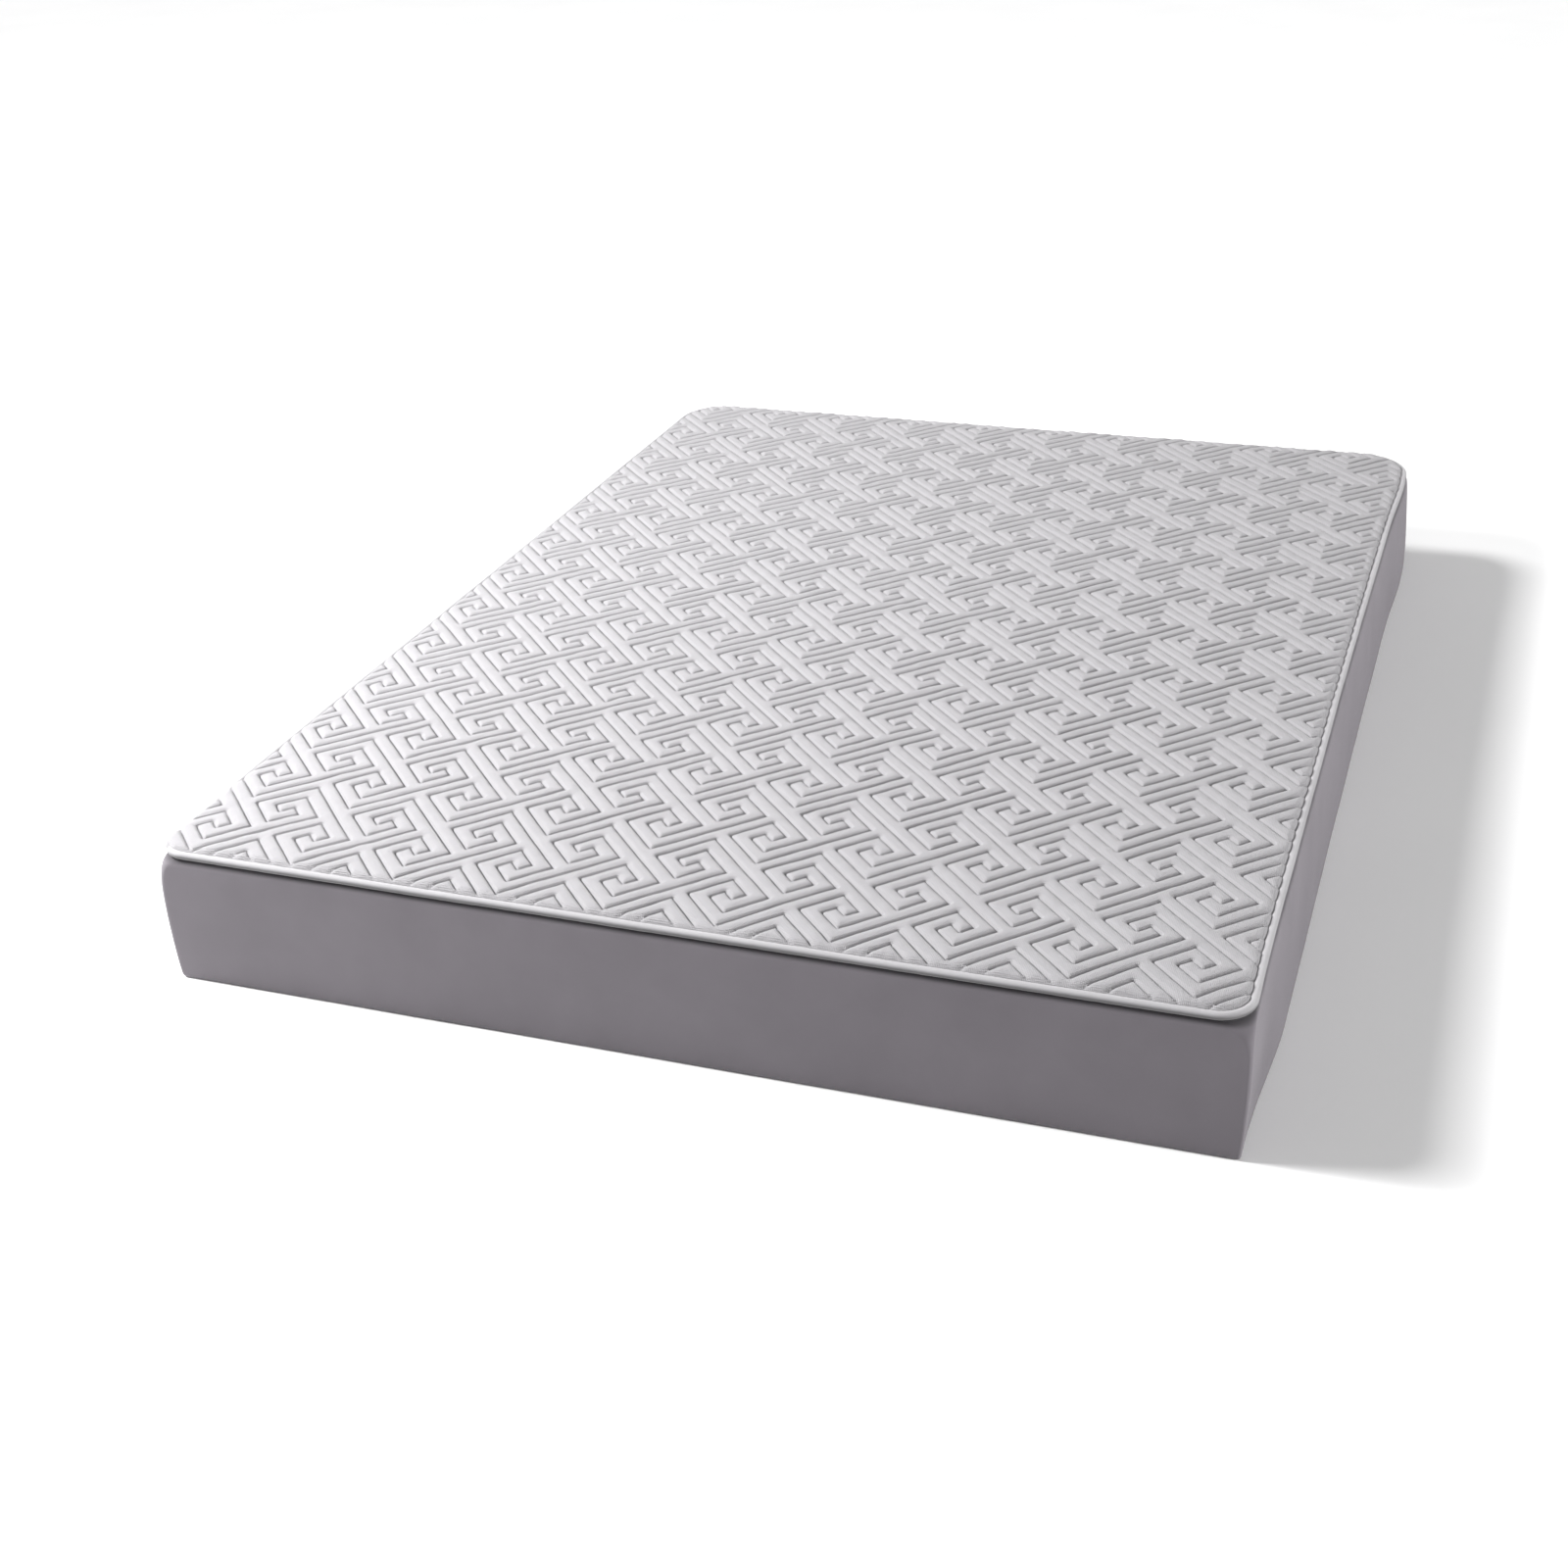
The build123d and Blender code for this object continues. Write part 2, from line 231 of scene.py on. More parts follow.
# ---- The cover's outline ----
class Columns:
    """Places round the cover, anticlockwise from the left-hand seam of the head end."""

    def __init__(self, keys, step):
        values = [np.array(keys[0], float)]
        self.marks = [0]
        for start, end in zip(keys, keys[1:]):
            start, end = np.array(start, float), np.array(end, float)
            change = np.abs(end - start)
            shoulder = (change[1] + change[3]) * (HALF_X - CORE_X)
            reach = change[0] + change[2] + shoulder + change[4] * SEAM_CORNER_R.max()
            count = max(1, round(reach / step))
            values += [start + (end - start) * k / count for k in range(1, count + 1)]
            self.marks.append(self.marks[-1] + count)
        self.measure(np.array(values))

    def measure(self, values):
        self.values = values
        corner = (values[:, 0] > 0).astype(int), (values[:, 2] > 0).astype(int)
        self.seam_r, self.side_r = SEAM_CORNER_R[corner], SIDE_CORNER_R[corner]
        self.fall = CORNER_FALL[corner]
        x, y = self.at(0, self.seam_r)
        self.run = np.concatenate([[0], np.cumsum(np.hypot(np.diff(x), np.diff(y)))])
        self.width = float(self.run[-1])
        return self

    def at(self, proud, radius):
        """Each column's place on a rounded rectangle that stands proud of the cover's."""
        px, gx, py, gy, turn = self.values.T
        x = px + gx * (HALF_X + proud - radius - CORE_X) + radius * np.cos(turn)
        y = py + gy * (HALF_Y + proud - radius - CORE_Y) + radius * np.sin(turn)
        return x, y

    def outwards(self):
        turn = self.values[:, 4]
        return np.cos(turn), np.sin(turn)

    def between(self, first, last):
        """The columns from one key to another."""
        part = object.__new__(Columns)
        return part.measure(self.values[self.marks[first]:self.marks[last] + 1])

    def ring(self):
        """All the columns but the last, which is where the first one is."""
        part = object.__new__(Columns)
        return part.measure(self.values[:-1])


def outline_keys():
    """Key columns (x, share of the corner's x, y, share of its y, direction outwards), and
    the number of the key where the head end's panel starts."""
    def head(x, turns):
        return (x, 0, CORE_Y, 1, math.pi / 2 + 2 * math.pi * turns)

    corners = [(-1, 1), (-1, -1), (1, -1), (1, 1)]
    keys = [head(-CORE_X - s, 0) for s in (0, *SEAM_STEPS)]
    for k, (sx, sy) in enumerate(corners):
        start = math.pi / 2 * (k + 1)
        end = start + math.pi / 2
        keys.append((sx * CORE_X, sx, sy * CORE_Y, sy, start))
        keys.append((sx * CORE_X, sx, sy * CORE_Y, sy, end))
        if k < 3:
            nx, ny = corners[k + 1]
            gx, gy = (sx if sx == nx else 0), (sy if sy == ny else 0)
            keys.append((sx * CORE_X, gx, sy * CORE_Y, gy, end))
            keys.append((nx * CORE_X, gx, ny * CORE_Y, gy, end))
    keys += [head(CORE_X + s, 1) for s in (*reversed(SEAM_STEPS), 0)]
    panel_start = len(keys) - 1
    keys += [head(CORE_X - s, 1) for s in SEAM_STEPS]
    keys += [head(s - CORE_X, 1) for s in (*reversed(SEAM_STEPS), 0)]
    return keys, panel_start


# ---- Materials ----
def shade(colour, amount):
    return tuple(channel * amount for channel in colour)


class Look:
    """A material in the making: one Principled shader and procedural textures."""

    def __init__(self, name):
        self.material = bpy.data.materials.new(name)
        self.material.use_nodes = True
        self.nodes = self.material.node_tree.nodes
        self.shader = self.nodes["Principled BSDF"]

    def link(self, output, socket):
        self.material.node_tree.links.new(output, socket)

    def set_up(self, node, **values):
        """Sets a node's own settings, or its inputs by name with _ for each space."""
        for key, value in values.items():
            if hasattr(node, key):
                setattr(node, key, value)
            else:
                node.inputs[key.replace("_", " ")].default_value = value
        return node

    def add(self, kind, **values):
        return self.set_up(self.nodes.new("ShaderNode" + kind), **values)

    def place(self):
        """The object's own coordinates."""
        return self.add("TexCoord").outputs["Object"]

    def texture(self, kind, output, **values):
        node = self.add(kind, **values)
        self.link(self.place(), node.inputs["Vector"])
        return node.outputs[output]

    def combine(self, operation, *terms):
        """A maths node whose terms are numbers or other nodes' outputs."""
        node = self.add("Math", operation=operation)
        for socket, term in zip(node.inputs, terms):
            if isinstance(term, (int, float)):
                socket.default_value = term
            else:
                self.link(term, socket)
        return node.outputs[0]

    def ribs(self, pitch):
        """Fine ribs along each axis, added up, so that every face of the object has some."""
        split = self.add("SeparateXYZ")
        self.link(self.place(), split.inputs[0])
        total = 0.0
        for axis in "XYZ":
            angle = self.combine("MULTIPLY", split.outputs[axis], 2 * math.pi / pitch)
            total = self.combine("ADD", self.combine("SINE", angle), total)
        return total

    def colour(self, factor, dark, light, low=0.3, high=0.7):
        """Colours the surface from dark to light as factor goes from low to high."""
        ramp = self.add("ValToRGB")
        first, last = ramp.color_ramp.elements
        first.position, last.position = low, high
        first.color, last.color = (*dark, 1), (*light, 1)
        self.link(factor, ramp.inputs["Fac"])
        self.link(ramp.outputs["Color"], self.shader.inputs["Base Color"])

    def relief(self, height, strength, distance):
        bump = self.add("Bump", Strength=strength, Distance=distance)
        self.link(height, bump.inputs["Height"])
        self.link(bump.outputs["Normal"], self.shader.inputs["Normal"])

    def roughness(self, factor, low, high):
        rough = self.add("MapRange", To_Min=low, To_Max=high)
        self.link(factor, rough.inputs["Value"])
        self.link(rough.outputs["Result"], self.shader.inputs["Roughness"])

    def dim(self, distance, start, end, least):
        """Paints shade: darkens the colour down to least as distance goes from end to start."""
        near = self.add("MapRange", interpolation_type="SMOOTHSTEP", From_Min=start,
                        From_Max=end, To_Min=least, To_Max=1.0)
        self.link(distance, near.inputs["Value"])
        dimmed = self.add("Mix", data_type="RGBA", blend_type="MULTIPLY")
        factor, first, second = [s for s in dimmed.inputs if s.enabled]
        factor.default_value = 1.0
        colour = self.shader.inputs["Base Color"]
        self.link(colour.links[0].from_socket, first)
        self.link(near.outputs["Result"], second)
        self.link([s for s in dimmed.outputs if s.enabled][0], colour)


def cloth(name, colour, pitch=1.0 * MM, roughness=0.9, grain=0.25, mottle=0.06, sheen=0.2,
          bump=0.25):
    """Knitted or woven cloth: fine ribs, loose fibres and a soft unevenness of colour."""
    look = Look(name)
    broad = look.texture("TexNoise", "Fac", Scale=9.0, Detail=4.0)
    fibres = look.texture("TexNoise", "Fac", Scale=0.5 / pitch, Detail=3.0)
    mixed = look.combine("MULTIPLY_ADD", fibres, grain, broad)
    look.colour(mixed, shade(colour, 1 - mottle), shade(colour, 1 + mottle),
                0.3 + grain / 2, 0.7 + grain / 2)
    look.relief(look.combine("MULTIPLY_ADD", look.ribs(pitch), 0.3, fibres), bump, 0.5 * pitch)
    look.roughness(fibres, roughness - 0.08, min(1.0, roughness + 0.08))
    look.set_up(look.shader, Sheen_Weight=sheen, Sheen_Roughness=0.5, Specular_IOR_Level=0.2)
    return look


def foam(name, colour, cell=1.6 * MM):
    """Open-cell foam: small round pores and a slight unevenness."""
    look = Look(name)
    pores = look.texture("TexVoronoi", "Distance", Scale=1 / cell)
    broad = look.texture("TexNoise", "Fac", Scale=12.0, Detail=3.0)
    mixed = look.combine("MULTIPLY_ADD", pores, 0.4, broad)
    look.colour(mixed, shade(colour, 0.82), colour, 0.35, 0.8)
    look.relief(pores, 0.5, 0.5 * cell)
    look.set_up(look.shader, Roughness=0.95, Specular_IOR_Level=0.15)
    return look


def metal(name, colour):
    """Nickel-plated zinc: fine polishing marks and small dull patches."""
    look = Look(name)
    marks = look.texture("TexNoise", "Fac", Scale=900.0, Detail=4.0)
    patches = look.texture("TexNoise", "Fac", Scale=160.0, Detail=3.0)
    look.colour(patches, shade(colour, 0.85), colour)
    look.roughness(patches, 0.22, 0.42)
    look.relief(marks, 0.15, 0.05 * MM)
    look.set_up(look.shader, Metallic=1.0)
    return look


def plastic(name, colour, roughness=0.4):
    """Nylon or rubbery plastic with a faint orange-peel surface."""
    look = Look(name)
    peel = look.texture("TexNoise", "Fac", Scale=1400.0, Detail=3.0)
    look.colour(peel, shade(colour, 0.88), colour)
    look.relief(peel, 0.2, 0.1 * MM)
    look.set_up(look.shader, Roughness=roughness)
    return look


def quilt_cloth(name, colour):
    """The quilted face's cloth: one tone, with painted shade that darkens it in the creases
    along the sewn lines, and its knit in the relief and the roughness."""
    look = cloth(name, colour, pitch=2.2 * MM, mottle=0.0, sheen=0.1, bump=0.5)
    gap = look.add("Attribute", attribute_name="stitch_gap").outputs["Fac"]
    # painted shade: the colour darkens near the sewn lines, where the creases lie in shade
    look.dim(gap, 0.2 * MM, 1.5 * MM, 0.80)
    return look


def painted_shade_cloth(name, colour, start, end, least, **rest):
    """Cloth with painted shade, darker towards the height of a seam: the shaded lower half of
    the piping, and the shaded crease in the border just under the piping.
    """
    look = cloth(name, colour, **rest)
    split = look.add("SeparateXYZ")
    look.link(look.place(), split.inputs[0])
    # painted shade, by height
    look.dim(split.outputs["Z"], start, end, least)
    return look


LOOKS = {
    "quilt": quilt_cloth("quilt_knit", (0.3274, 0.3201, 0.3313)),
    # piping: its lower half darkened, painted shade of the tube's underside
    "piping": painted_shade_cloth("piping_knit", (0.37, 0.362, 0.374), PIPING_Z - 0.2 * PIPING_R,
                           PIPING_Z + 0.85 * PIPING_R, 0.32, pitch=0.8 * MM, mottle=0.03),
    # border: darkened just under the seam, painted shade of the crease under the piping
    "border": painted_shade_cloth("border_knit", (0.145, 0.133, 0.148), SEAM_Z - 1 * MM,
                           SEAM_Z - 8 * MM, 0.45, pitch=1.1 * MM, mottle=0.05),
    "grip": cloth("grip_fabric", (0.17, 0.165, 0.175), pitch=1.6 * MM, mottle=0.08, bump=0.4),
    "dots": plastic("grip_dots", (0.10, 0.098, 0.104), 0.55),
    "wadding": cloth("wadding", (0.82, 0.82, 0.80), pitch=2.2 * MM, grain=0.6, bump=0.8),
    "backing": cloth("backing", (0.78, 0.78, 0.77), pitch=1.8 * MM, grain=0.5),
    "sleeve": cloth("sleeve_knit", (0.80, 0.80, 0.78), pitch=1.4 * MM, bump=0.5),
    "support": foam("support_foam", (0.80, 0.78, 0.72)),
    "soft": foam("soft_foam", (0.66, 0.75, 0.82), 1.3 * MM),
    "memory": foam("memory_foam", (0.86, 0.84, 0.77), 0.9 * MM),
    "tape": cloth("zip_tape", (0.20, 0.19, 0.205), pitch=0.7 * MM, bump=0.4),
    "teeth": plastic("zip_teeth", (0.17, 0.165, 0.175), 0.35),
    "metal": metal("zip_metal", (0.62, 0.61, 0.60)),
    "thread": cloth("thread", (0.30, 0.28, 0.31), pitch=0.3 * MM, roughness=0.7, bump=0.5),
    "quilt_thread": cloth("quilt_thread", (0.56, 0.55, 0.57), pitch=0.3 * MM, roughness=0.7),
}


# ---- Sewing ----
def sew(name, starts, ends, ups, radius, material, slot, profile, sides, on_quilt=False):
    """A row of stitches, each a small spindle from its start to its end. profile holds, for
    each ring of a stitch, how far along it is and how thick it is there."""
    starts, ends, ups = (np.asarray(a, float) for a in (starts, ends, ups))
    along = ends - starts
    side = np.cross(along, ups)
    side /= np.linalg.norm(side, axis=1, keepdims=True)
    turns = 2 * np.pi * np.arange(sides) / sides + np.pi / 2
    rings = [starts[:, None]]
    for t, thick in profile:
        middle = starts + along * t
        circle = [middle + radius * thick * (np.cos(a) * side + np.sin(a) * ups) for a in turns]
        rings.append(np.stack(circle, 1))
    points = np.concatenate([*rings, ends[:, None]], 1)
    per_stitch = points.shape[1]
    last = per_stitch - 1
    next_side = [(k + 1) % sides for k in range(sides)]
    faces = [(0, 1 + next_side[k], 1 + k) for k in range(sides)]
    for ring in range(len(profile) - 1):
        a, b = 1 + ring * sides, 1 + (ring + 1) * sides
        faces += [(a + k, a + next_side[k], b + next_side[k], b + k) for k in range(sides)]
    tail = 1 + (len(profile) - 1) * sides
    faces += [(tail + k, tail + next_side[k], last) for k in range(sides)]
    faces = repeat_faces(faces, len(starts), per_stitch)
    return add_piece(name, points.reshape(-1, 3), faces, material, on_quilt=on_quilt)


# ---- Quilted top ----
QUILT_INSET = 6.4 * MM  # where the quilt's edge goes in under the piping
RIM_STEPS = np.array([0.0, 1.2, 2.6, 4.2, 6.0, 8.0]) * MM  # rings of the rim, from the edge
LATTICE_CLEAR = 9.8 * MM  # how far the pattern's grid keeps from the edge
STITCH_CLEAR = 5 * MM
STITCH_R = 0.38 * MM
STITCH_RISE = 0.10 * MM
SAME_PLACE = 1e-7
EDGE_HEIGHT = 3.2 * MM  # of the quilt's edge over the piping's middle
EDGE_DIP = 6.0 * MM  # how deep it is pulled down where it goes in under the piping
EDGE_RISE = 1.2 * MM  # how far the top then rises over its first 50 mm
# size across and height of each kind of unevenness
PUCKER_SIZE, PUCKER_HEIGHT = 5.2 * MM, 0.35 * MM
CREEP_SIZE, CREEP_HEIGHT = 7.5 * MM, 0.20 * MM
RIPPLE_SIZE, RIPPLE_HEIGHT = 7 * MM, 0.7 * MM
ROLL_SIZE, ROLL_HEIGHT = 350 * MM, 0.8 * MM
# squares of the grid to each side of its origin that are sure to cover the top
GRID_REACH = 4 + int(
    ((HALF_X + abs(PATTERN_X)) / PITCH_X + (HALF_Y + abs(PATTERN_Y)) / PITCH_Y) / 2
)


def sewn_edges():
    """For each grid point of one repeat, whether the edge that leaves it each way is sewn."""
    n = STEPS_PER_PERIOD
    sewn = np.zeros((2, n, n), bool)
    place = [MEANDER_START, 0]
    for turn, steps in enumerate(MEANDER):
        axis = turn % 2
        way = 1 if steps > 0 else -1
        for _ in range(abs(steps)):
            low = list(place)
            low[axis] = min(place[axis], place[axis] + way)
            sewn[axis, (low[0] + low[1]) % n, (low[0] - low[1]) % n] = True
            place[axis] += way
    return sewn


SEWN = sewn_edges()


def sewing_drift(x, y):
    """How far the sewn lines lie from the drawn pattern: the cloth is a little askew and
    eased in towards the head end, and the sewing wanders."""
    askew_x = -12.3 * y - 13.0 * x * y - 3.4 * y ** 2 - 4.9 * x ** 2
    askew_y = 4.3 * x - 5.9 * x * y + 5.8 * y ** 2 - 9.5 * x ** 2
    wander_x, wander_y = noise(x, y, 0.11, 1) * 0.9, noise(x, y, 0.11, 2) * 0.9
    return (askew_x + wander_x) * MM, (askew_y + wander_y) * MM


def grid_to_plan(i, j):
    x, y = PATTERN_X + (i - j) * PITCH_X, PATTERN_Y - (i + j) * PITCH_Y
    drift_x, drift_y = sewing_drift(x, y)
    return x + drift_x, y + drift_y


def plan_to_grid(x, y):
    drawn_x, drawn_y = x, y
    for _ in range(4):
        drift_x, drift_y = sewing_drift(drawn_x, drawn_y)
        drawn_x, drawn_y = x - drift_x, y - drift_y
    across = (drawn_x - PATTERN_X) / PITCH_X
    down = -(drawn_y - PATTERN_Y) / PITCH_Y
    return (down + across) / 2, (down - across) / 2


def stitch_gap(i, j):
    """Distance in plan from each point on the grid to the nearest sewn line."""
    base_i, base_j = np.floor(i).astype(int), np.floor(j).astype(int)
    best = np.full(i.shape, 1.0)
    n = STEPS_PER_PERIOD
    for di in (-1, 0, 1, 2):
        for dj in (-1, 0, 1, 2):
            gi, gj = base_i + di, base_j + dj
            for axis in (0, 1):
                along, off = (i - gi, j - gj) if axis == 0 else (j - gj, i - gi)
                past = along - np.clip(along, 0, 1)
                a, b = (past, off) if axis == 0 else (off, past)
                gap = np.hypot((a - b) * PITCH_X, (a + b) * PITCH_Y)
                sewn = SEWN[axis, (gi + gj) % n, (gi - gj) % n]
                best = np.where(sewn & (gap < best), gap, best)
    return best


def edge_distance(x, y, inset):
    """Distance inwards from the cover's rounded rectangle drawn in by inset."""
    radius = SEAM_CORNER_R[(x > 0).astype(int), (y > 0).astype(int)] - inset
    dx = np.abs(x) - (HALF_X - inset - radius)
    dy = np.abs(y) - (HALF_Y - inset - radius)
    outside = np.hypot(np.maximum(dx, 0), np.maximum(dy, 0))
    return radius - outside - np.minimum(np.maximum(dx, dy), 0)


def quilt_height(x, y, gap):
    """Height of the quilted face where the nearest sewn line is gap away: channels that
    arch up between the lines, with puckers at the stitches, on a crowned top whose edge
    dips under the piping."""
    inward = edge_distance(x, y, QUILT_INSET)
    t = np.clip(gap / CHANNEL_HALF, 0, 1)
    arch = (1 - (1 - t) ** 3) ** 0.55
    fullness = 1 + 0.10 * noise(x, y, 0.05, 3) + 0.08 * noise(x, y, 0.016, 4)
    free = smooth((inward + 1 * MM) / (12 * MM))  # 0 at the edge, where the rim is flat
    at_stitch = np.exp(-gap / (4 * MM))
    pucker = noise(x + y, x - y, PUCKER_SIZE, 5) * PUCKER_HEIGHT * at_stitch * free
    creep = noise(x, y, CREEP_SIZE, 6) * CREEP_HEIGHT * t * free
    by_edge = np.exp(-((inward - 7 * MM) / (5 * MM)) ** 2)
    ripple = noise(x + y, x - y, RIPPLE_SIZE, 7) * RIPPLE_HEIGHT * by_edge
    roll = noise(x, y, ROLL_SIZE, 8) * ROLL_HEIGHT * smooth(inward / (100 * MM))
    crown = CROWN * (1 - (np.abs(x) / HALF_X) ** 3) * (1 - (np.abs(y) / HALF_Y) ** 3)
    base = PIPING_Z + EDGE_HEIGHT - EDGE_DIP * np.exp(-inward / (1.8 * MM))
    base += EDGE_RISE * smooth(inward / (50 * MM)) + roll
    return base + crown + PUFF * arch * fullness * free + pucker + creep + ripple


def quilt_lattice():
    """Grid places and quads on the pattern's own grid, wherever it is clear of the edge."""
    reach = GRID_REACH
    steps = (np.arange(-reach, reach)[:, None] + CELL_CUTS[None, :]).ravel()
    i, j = np.meshgrid(steps, steps, indexing="ij")
    x, y = grid_to_plan(i, j)
    inside = edge_distance(x, y, QUILT_INSET) > LATTICE_CLEAR
    kept = inside[:-1, :-1] & inside[1:, :-1] & inside[:-1, 1:] & inside[1:, 1:]
    index = np.arange(x.size).reshape(x.shape)
    corners = (index[:-1, :-1], index[:-1, 1:], index[1:, 1:], index[1:, :-1])
    quads = np.stack([c[kept] for c in corners], -1)
    used, flat = np.unique(quads, return_inverse=True)
    places = [a.ravel()[used] for a in (i, j, x, y)]
    return places, flat.reshape(quads.shape), steps, kept


def open_edges(quads):
    """The edges that only one quad has."""
    edges = np.concatenate([quads[:, [k, (k + 1) % 4]] for k in range(4)])
    _, first, uses = np.unique(np.sort(edges, axis=1), axis=0, return_index=True,
                               return_counts=True)
    return edges[first[uses == 1]]


def fill_between(x, y, ring, lattice_edges, steps, kept):
    """Triangles between the lattice's stepped edge and the innermost ring of the rim."""
    members = np.unique(np.concatenate([lattice_edges.ravel(), ring]))
    number = {int(v): k for k, v in enumerate(members)}
    loop = np.stack([ring, np.roll(ring, -1)], -1)
    pairs = [(number[int(a)], number[int(b)]) for a, b in np.concatenate([lattice_edges, loop])]
    flat = [Vector((x[v], y[v])) for v in members]
    made = geometry.delaunay_2d_cdt(flat, pairs, [], 0, SAME_PLACE)
    source = [members[s[0]] for s in made[3]]
    triangles = np.array([[source[v] for v in face] for face in made[2]])
    i, j = plan_to_grid(x[triangles].mean(1), y[triangles].mean(1))
    a = np.clip(np.searchsorted(steps, i, "right") - 1, 0, kept.shape[0] - 1)
    b = np.clip(np.searchsorted(steps, j, "right") - 1, 0, kept.shape[1] - 1)
    triangles = triangles[~kept[a, b]]
    tx, ty = x[triangles], y[triangles]
    turn = (tx[:, 1] - tx[:, 0]) * (ty[:, 2] - ty[:, 0])
    turn -= (ty[:, 1] - ty[:, 0]) * (tx[:, 2] - tx[:, 0])
    triangles[turn < 0] = triangles[turn < 0][:, ::-1]
    return triangles


def split_quads(quads, i, j, z):
    """Two triangles for each quad, cut along the diagonal that lies nearest the surface."""
    mi, mj = i[quads].mean(1), j[quads].mean(1)
    x, y = grid_to_plan(mi, mj)
    true = quilt_height(x, y, stitch_gap(mi, mj))
    first = np.abs((z[quads[:, 0]] + z[quads[:, 2]]) / 2 - true)
    second = np.abs((z[quads[:, 1]] + z[quads[:, 3]]) / 2 - true)
    turned = np.where((first <= second)[:, None], quads, np.roll(quads, 1, axis=1))
    return np.concatenate([turned[:, [0, 1, 2]], turned[:, [0, 2, 3]]])


def make_quilt(ring):
    """The face of the quilted top, on the sewing pattern's own grid, with its rim tucked
    under the piping."""
    (i, j, x, y), quads, steps, kept = quilt_lattice()
    z = quilt_height(x, y, stitch_gap(i, j))
    triangles = split_quads(quads, i, j, z)
    lattice_edges = open_edges(quads)
    count, first = len(ring.run), len(x)
    for step in RIM_STEPS:
        inset = QUILT_INSET + step
        rim_x, rim_y = ring.at(-inset, ring.seam_r - inset)
        x, y = np.concatenate([x, rim_x]), np.concatenate([y, rim_y])
    innermost = first + (len(RIM_STEPS) - 1) * count + np.arange(count)
    filling = fill_between(x, y, innermost, lattice_edges, steps, kept)
    gap = np.concatenate([stitch_gap(i, j), stitch_gap(*plan_to_grid(x[first:], y[first:]))])
    z = quilt_height(x, y, gap)
    faces = triangles.tolist() + filling.tolist()
    faces += grid_faces(len(RIM_STEPS), count, closed=True, first=first)
    piece = add_piece("quilted_top", np.stack([x, y, z], -1), faces, "quilt",
                      replaces=["quilt_face"], on_quilt=True)
    attribute = piece.data.attributes.new("stitch_gap", "FLOAT", "POINT")
    attribute.data.foreach_set("value", gap.astype(np.float32))


def make_quilt_thread():
    """The stitches of the sewn lines, lying in the creases of the quilted face."""
    n = STEPS_PER_PERIOD
    reach = GRID_REACH
    gi, gj = np.meshgrid(np.arange(-reach, reach), np.arange(-reach, reach), indexing="ij")
    starts, ends = [], []
    for axis, (di, dj) in enumerate(((1, 0), (0, 1))):
        sewn = SEWN[axis, (gi + gj) % n, (gi - gj) % n]
        i, j = gi[sewn].astype(float), gj[sewn].astype(float)
        for k in range(STITCHES_PER_STEP):
            low, high = (k + 0.12) / STITCHES_PER_STEP, (k + 0.88) / STITCHES_PER_STEP
            starts.append(np.stack(grid_to_plan(i + low * di, j + low * dj), -1))
            ends.append(np.stack(grid_to_plan(i + high * di, j + high * dj), -1))
    starts, ends = np.concatenate(starts), np.concatenate(ends)
    middle = (starts + ends) / 2
    inside = edge_distance(middle[:, 0], middle[:, 1], QUILT_INSET) > STITCH_CLEAR
    starts, ends = starts[inside], ends[inside]
    raised = []
    for spots in (starts, ends):
        z = quilt_height(spots[:, 0], spots[:, 1], np.zeros(len(spots))) + STITCH_RISE
        raised.append(np.concatenate([spots, z[:, None]], 1))
    ups = np.tile([0.0, 0.0, 1.0], (len(starts), 1))
    sew("quilting_thread", *raised, ups, STITCH_R, "quilt_thread", "quilt_knit",
        [(0.5, 1.0)], 3, on_quilt=True)


# ---- Border ----
BORDER_CLOTH = 1.2 * MM
BORDER_LOW = 0.6 * MM
BORDER_HIGH = SEAM_Z + 0.8 * MM
BULGE = 3.0 * MM
SIDE_SPREAD = 9.0 * MM  # how far the long sides spread at the floor
BOTTOM_TUCK = 3.0 * MM
BOTTOM_ROUND = 5 * MM
TOP_TUCK = 6.0 * MM
TOP_ROUND = 10 * MM
SEAM_DIP = 1.8 * MM  # how deep the head end's two upright seams lie
MIN_CORNER_R = 4 * MM
# the cloth's waves: size across, depth and seed
BORDER_WAVES = ((160 * MM, 1.3 * MM, 11), (55 * MM, 0.5 * MM, 12))
GATHER_SIZE, GATHER_DEPTH = 20 * MM, 0.5 * MM  # the small waves under the piping's seam


def corner_radius(columns, z, depth=0.0):
    """Radius of the corners at height z: as wide as the piping's at the seam, and crisper
    towards the floor."""
    rise = np.clip(z / SEAM_Z, 0, 1) ** columns.fall
    outer = columns.side_r + (columns.seam_r - columns.side_r) * rise
    return np.maximum(MIN_CORNER_R, outer - depth)


def side_spread(columns, z):
    """How far the long sides lean out at height z, the more the nearer the floor."""
    from_foot = smooth((columns.values[:, 2] + CORE_Y) / 0.2)
    facing = np.abs(np.cos(columns.values[:, 4]))
    return SIDE_SPREAD * (1 - np.clip(z / SEAM_Z, 0, 1)) * from_foot * facing


def border_proud(columns, z):
    """How far the border stands out of the cover's straight side at height z."""
    swell = BULGE * np.sin(np.pi * np.clip(z / SEAM_Z, 0, 1)) ** 0.45
    bottom = BOTTOM_TUCK * quarter_round(z / BOTTOM_ROUND)
    top = TOP_TUCK * quarter_round((SEAM_Z - z) / TOP_ROUND)
    return swell - bottom - top + side_spread(columns, z)


